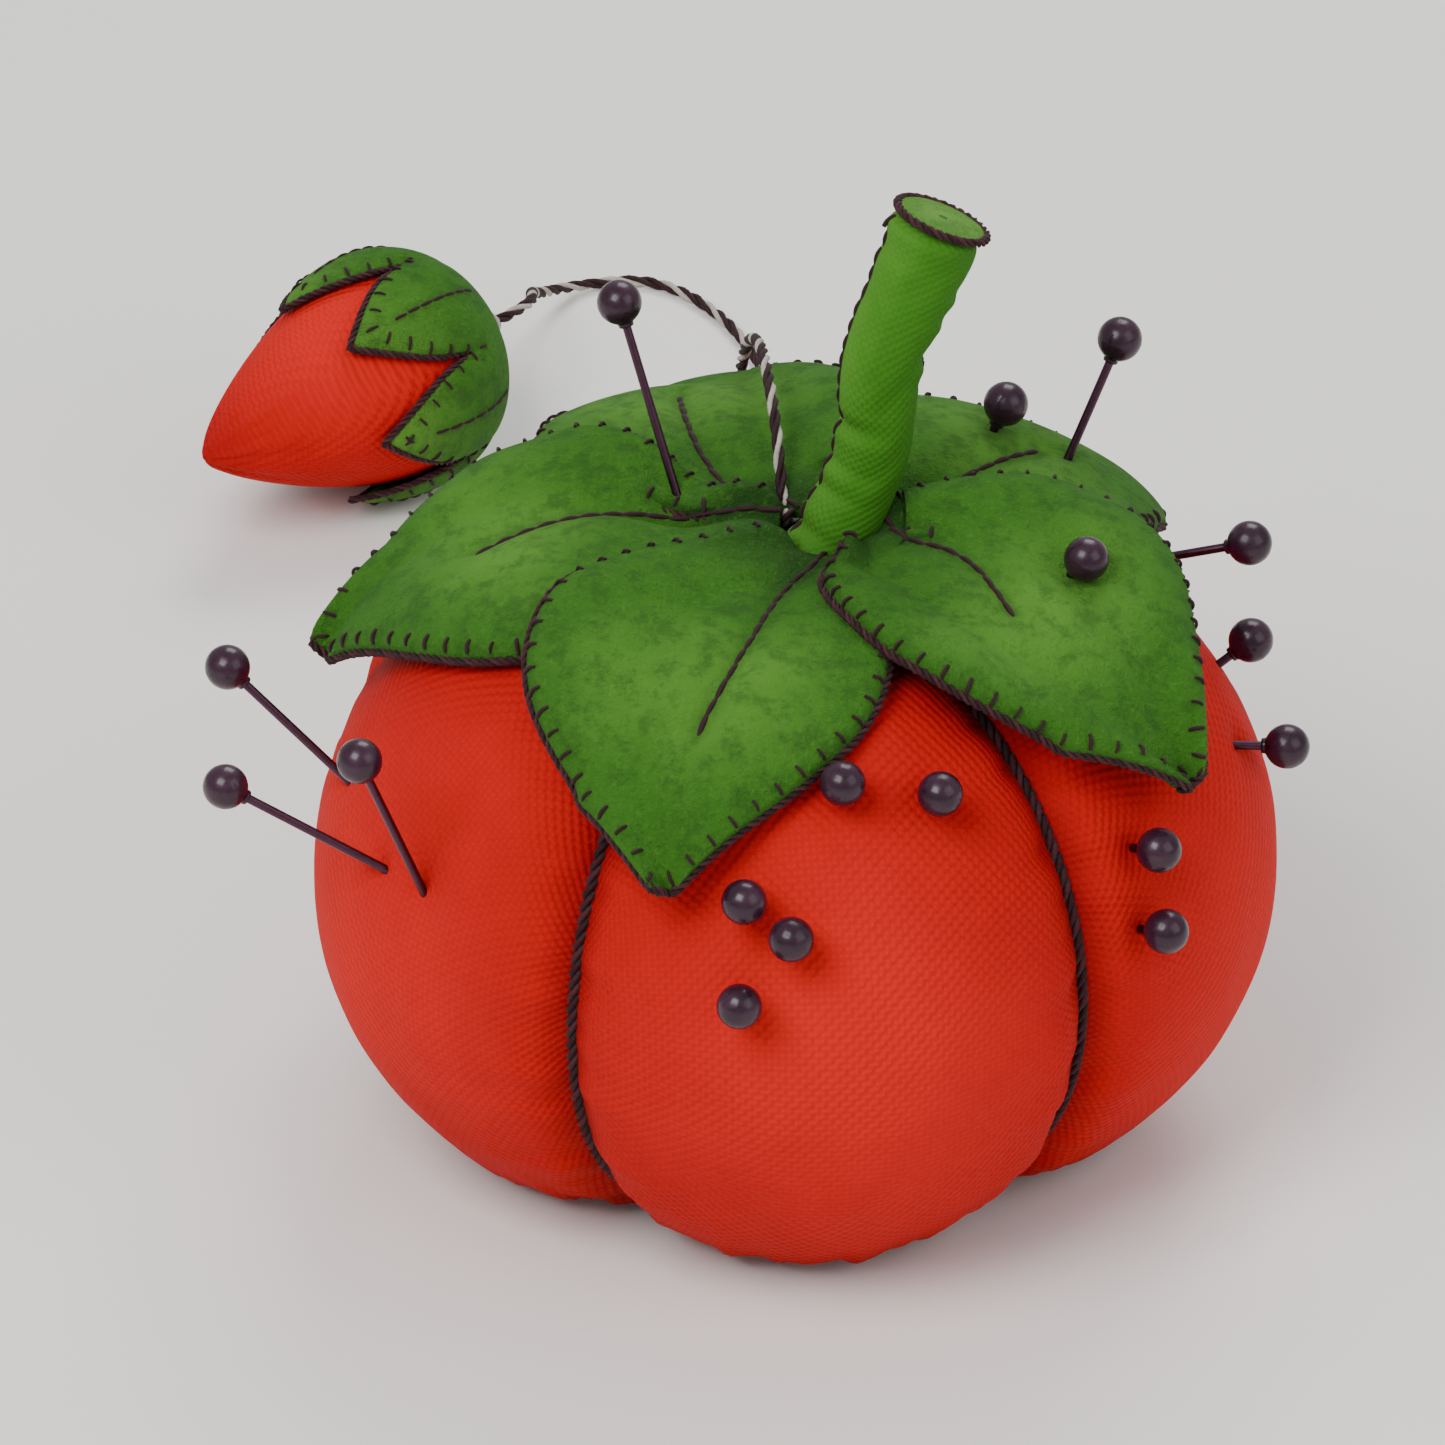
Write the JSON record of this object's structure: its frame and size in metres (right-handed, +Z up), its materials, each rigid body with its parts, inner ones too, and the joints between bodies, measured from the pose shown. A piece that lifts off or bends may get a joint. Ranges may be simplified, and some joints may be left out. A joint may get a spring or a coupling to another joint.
{
  "type": "pin cushion",
  "caption": "Tomato-shaped cloth pin cushion with tied lobes, felt leaves, a stuffed stem, ball-head pins that push in and pull out, and a strawberry emery on a thread.",
  "frame": {"origin": "centre of the flat underside of the base patch, on the cushion's upright axis", "axes": "+Z up along the cushion's axis; -Y is the front; +X is to the right seen from the front"},
  "size_m": [0.09, 0.1681, 0.0803],
  "materials": {
    "cushion_cloth": "soft woven cotton, tomato red",
    "cushion_filling": "packed wool and sawdust",
    "crease_thread": "matte twisted floss, dark maroon",
    "base_felt": "felt",
    "leaf_felt": "felt, mid green",
    "stem_cloth": "woven cotton, mid green",
    "stem_end_felt": "felt, pale green",
    "tether_thread": "matte twisted thread, dark plum",
    "pin_steel": "darkened steel",
    "pin_head": "glossy dark plum",
    "emery_cloth": "woven cotton, strawberry red",
    "emery_powder": "fine emery grit"
  },
  "bodies": {
    "cushion": {"gore_1": "cushion_cloth", "gore_2": "cushion_cloth", "gore_3": "cushion_cloth", "gore_4": "cushion_cloth", "gore_5": "cushion_cloth", "filling": "cushion_filling", "crease_floss": "crease_thread", "base_patch": "base_felt", "leaf_1": "leaf_felt", "leaf_2": "leaf_felt", "leaf_3": "leaf_felt", "leaf_4": "leaf_felt", "leaf_5": "leaf_felt", "stem_cover": "stem_cloth", "stem_filling": "cushion_filling", "stem_end_disc": "stem_end_felt", "stem_knot": "tether_thread", "emery_thread": "tether_thread", "emery_knot": "tether_thread"},
    "emery": {"emery_cover": "emery_cloth", "emery_grit": "emery_powder", "emery_cap": "leaf_felt"},
    "pin_left_upper": {"pin_left_upper_shaft": "pin_steel", "pin_left_upper_head": "pin_head"},
    "pin_left_middle": {"pin_left_middle_shaft": "pin_steel", "pin_left_middle_head": "pin_head"},
    "pin_left_lower": {"pin_left_lower_shaft": "pin_steel", "pin_left_lower_head": "pin_head"},
    "pin_top": {"pin_top_shaft": "pin_steel", "pin_top_head": "pin_head"},
    "pin_leaf_upper": {"pin_leaf_upper_shaft": "pin_steel", "pin_leaf_upper_head": "pin_head"},
    "pin_leaf_side": {"pin_leaf_side_shaft": "pin_steel", "pin_leaf_side_head": "pin_head"},
    "pin_leaf_face": {"pin_leaf_face_shaft": "pin_steel", "pin_leaf_face_head": "pin_head"},
    "pin_back": {"pin_back_shaft": "pin_steel", "pin_back_head": "pin_head"},
    "pin_front_first": {"pin_front_first_shaft": "pin_steel", "pin_front_first_head": "pin_head"},
    "pin_front_second": {"pin_front_second_shaft": "pin_steel", "pin_front_second_head": "pin_head"},
    "pin_front_third": {"pin_front_third_shaft": "pin_steel", "pin_front_third_head": "pin_head"},
    "pin_front_fourth": {"pin_front_fourth_shaft": "pin_steel", "pin_front_fourth_head": "pin_head"},
    "pin_front_fifth": {"pin_front_fifth_shaft": "pin_steel", "pin_front_fifth_head": "pin_head"},
    "pin_right_first": {"pin_right_first_shaft": "pin_steel", "pin_right_first_head": "pin_head"},
    "pin_right_second": {"pin_right_second_shaft": "pin_steel", "pin_right_second_head": "pin_head"},
    "pin_edge_first": {"pin_edge_first_shaft": "pin_steel", "pin_edge_first_head": "pin_head"},
    "pin_edge_second": {"pin_edge_second_shaft": "pin_steel", "pin_edge_second_head": "pin_head"}
  },
  "joints": [
    {"name": "pin_left_upper_slide", "type": "slide", "parent": "cushion", "child": "pin_left_upper", "axis": [-0.6895, 0.0847, 0.7193], "range_m": [-0.0095, 0.024]},
    {"name": "pin_left_middle_slide", "type": "slide", "parent": "cushion", "child": "pin_left_middle", "axis": [-0.8375, -0.0439, 0.5446], "range_m": [-0.0105, 0.023]},
    {"name": "pin_left_lower_slide", "type": "slide", "parent": "cushion", "child": "pin_left_lower", "axis": [-0.2926, -0.2825, 0.9135], "range_m": [-0.01, 0.022]},
    {"name": "pin_top_slide", "type": "slide", "parent": "cushion", "child": "pin_top", "axis": [-0.2818, 0.3358, 0.8988], "range_m": [-0.013, 0.017]},
    {"name": "pin_leaf_upper_slide", "type": "slide", "parent": "cushion", "child": "pin_leaf_upper", "axis": [0.3846, 0.2693, 0.8829], "range_m": [-0.008, 0.022]},
    {"name": "pin_leaf_side_slide", "type": "slide", "parent": "cushion", "child": "pin_leaf_side", "axis": [0.9033, -0.259, 0.342], "range_m": [-0.006, 0.0255]},
    {"name": "pin_leaf_face_slide", "type": "slide", "parent": "cushion", "child": "pin_leaf_face", "axis": [0.509, -0.2939, 0.809], "range_m": [0, 0.0318]},
    {"name": "pin_back_slide", "type": "slide", "parent": "cushion", "child": "pin_back", "axis": [0.3868, 0.1257, 0.9135], "range_m": [-0.0005, 0.031]},
    {"name": "pin_front_first_slide", "type": "slide", "parent": "cushion", "child": "pin_front_first", "axis": [0, -0.848, 0.5299], "range_m": [0, 0.0337]},
    {"name": "pin_front_second_slide", "type": "slide", "parent": "cushion", "child": "pin_front_second", "axis": [0, -0.848, 0.5299], "range_m": [0, 0.0335]},
    {"name": "pin_front_third_slide", "type": "slide", "parent": "cushion", "child": "pin_front_third", "axis": [0, -0.848, 0.5299], "range_m": [0, 0.0338]},
    {"name": "pin_front_fourth_slide", "type": "slide", "parent": "cushion", "child": "pin_front_fourth", "axis": [0, -0.848, 0.5299], "range_m": [0, 0.0339]},
    {"name": "pin_front_fifth_slide", "type": "slide", "parent": "cushion", "child": "pin_front_fifth", "axis": [0, -0.848, 0.5299], "range_m": [0, 0.0338]},
    {"name": "pin_right_first_slide", "type": "slide", "parent": "cushion", "child": "pin_right_first", "axis": [0.6204, -0.689, 0.3746], "range_m": [0, 0.0339]},
    {"name": "pin_right_second_slide", "type": "slide", "parent": "cushion", "child": "pin_right_second", "axis": [0.6204, -0.689, 0.3746], "range_m": [0, 0.0338]},
    {"name": "pin_edge_first_slide", "type": "slide", "parent": "cushion", "child": "pin_edge_first", "axis": [0.7969, 0.2285, 0.5592], "range_m": [0, 0.0339]},
    {"name": "pin_edge_second_slide", "type": "slide", "parent": "cushion", "child": "pin_edge_second", "axis": [0.9986, -0.0523, 0], "range_m": [0, 0.0337]},
    {"name": "emery_swing", "type": "hinge", "parent": "cushion", "child": "emery", "pos_m": [-0.0253, 0.1017, 0.0104], "axis": [0, 0, 1], "range_deg": [-40, 40]}
  ]
}
